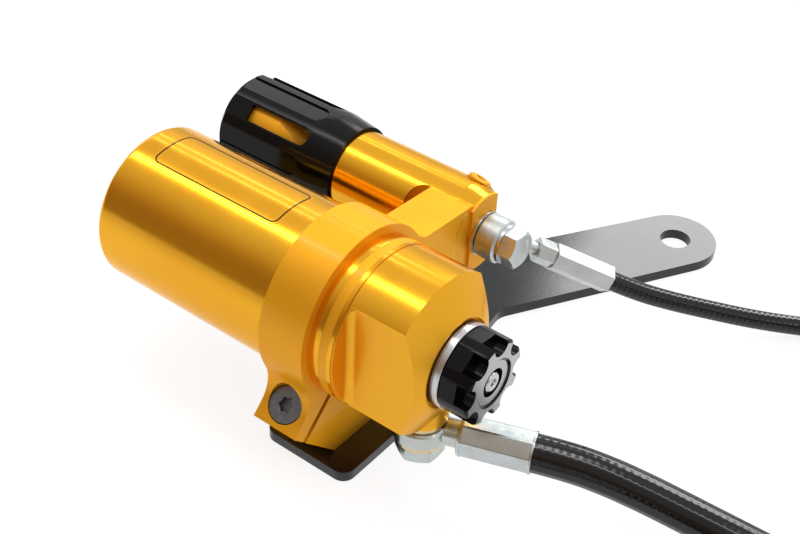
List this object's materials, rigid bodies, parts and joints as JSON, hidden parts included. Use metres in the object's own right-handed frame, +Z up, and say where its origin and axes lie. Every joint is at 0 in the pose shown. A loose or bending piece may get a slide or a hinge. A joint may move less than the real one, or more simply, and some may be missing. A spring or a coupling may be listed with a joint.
{
  "type": "motorcycle shock absorber remote reservoir",
  "caption": "Gold remote oil reservoir of a motorcycle rear shock absorber on a clamp and plate, with damping knob, hydraulic preload adjuster and two hoses.",
  "frame": {"origin": "on the plate's underside, straight below the reservoir axis and in the clamp's middle plane", "axes": "+X along the reservoir towards the damping knob, +Y across to the preload adjuster and the plate's arm, +Z up"},
  "size_m": [0.333, 0.2799, 0.083],
  "materials": {
    "gold_tube": "satin gold anodised, turned",
    "gold_billet": "bead blasted gold anodised billet",
    "black_anodised": "satin black anodised, machined",
    "black_plate": "smooth black coated steel",
    "zinc_fitting": "bright zinc plated",
    "satin_sleeve": "satin machined",
    "silver_ring": "polished, clear anodised",
    "dark_steel": "dark phosphated screw",
    "bright_steel": "ground steel",
    "brass": "plated brass",
    "hose_cover": "glossy black reinforced cover",
    "seal_rubber": "matt black nitrile",
    "guide_polymer": "filled polymer",
    "spring_steel": "drawn wire"
  },
  "bodies": {
    "root": {"reservoir_tube": "gold_tube", "gas_end_cap": "gold_billet", "gas_end_o_ring": "seal_rubber", "gas_end_circlip": "spring_steel", "gas_valve": "brass", "gas_valve_cap": "black_anodised", "end_cap": "gold_billet", "end_cap_o_ring": "seal_rubber", "adjuster_housing": "silver_ring", "valve_seat": "brass", "check_shim": "spring_steel", "check_spring": "spring_steel", "detent_ball": "bright_steel", "detent_spring": "spring_steel", "reservoir_bracket": "gold_billet", "clamp_screw": "dark_steel", "bleed_screw": "gold_billet", "bracket_plate": "black_plate", "plate_screws": "dark_steel", "preload_gland": "silver_ring", "main_banjo_bolt": "zinc_fitting", "main_washers": "brass", "main_banjo": "zinc_fitting", "main_ferrule": "zinc_fitting", "main_hose": "hose_cover", "main_hose_coil": "hose_cover", "main_far_ferrule": "zinc_fitting", "main_far_banjo": "zinc_fitting", "preload_banjo_bolt": "zinc_fitting", "preload_washers": "bright_steel", "preload_banjo": "zinc_fitting", "preload_hose_nut": "zinc_fitting", "preload_ferrule": "satin_sleeve", "preload_hose": "hose_cover", "preload_hose_coil": "hose_cover", "preload_far_ferrule": "satin_sleeve", "preload_far_banjo": "zinc_fitting"},
    "compression_adjuster": {"compression_knob": "black_anodised", "knob_screw": "bright_steel", "adjuster_shaft": "bright_steel"},
    "needle": {"metering_needle": "bright_steel"},
    "gas_piston": {"floating_piston": "silver_ring", "piston_o_ring": "seal_rubber", "piston_guide_band": "guide_polymer"},
    "preload_drive": {"preload_piston": "silver_ring", "preload_piston_seal": "seal_rubber", "thrust_ball": "bright_steel"},
    "preload_grip": {"preload_knob": "black_anodised", "preload_knob_screw": "dark_steel", "preload_spindle": "gold_billet"}
  },
  "joints": [
    {"name": "compression_turn", "type": "hinge", "parent": "root", "child": "compression_adjuster", "pos_m": [0.05, 0, 0.053], "axis": [1, 0, 0], "range_deg": [-360, 360]},
    {"name": "needle_travel", "type": "slide", "parent": "compression_adjuster", "child": "needle", "axis": [1, 0, 0], "range_m": [-0.00076, 0.00076]},
    {"name": "gas_piston_travel", "type": "slide", "parent": "root", "child": "gas_piston", "axis": [1, 0, 0], "range_m": [-0.02, 0.026]},
    {"name": "preload_feed", "type": "slide", "parent": "root", "child": "preload_drive", "axis": [1, 0, 0], "range_m": [0, 0.012]},
    {"name": "preload_turn", "type": "hinge", "parent": "preload_drive", "child": "preload_grip", "pos_m": [-0.07, 0.0619, 0.04965], "axis": [1, 0, 0], "range_deg": [-5, 2885]}
  ],
  "couplings": [
    {"joint": "needle_travel", "follows": "compression_turn", "m_per_rad": 0.00011937},
    {"joint": "preload_turn", "follows": "preload_feed", "rad_per_m": 4188.8}
  ]
}
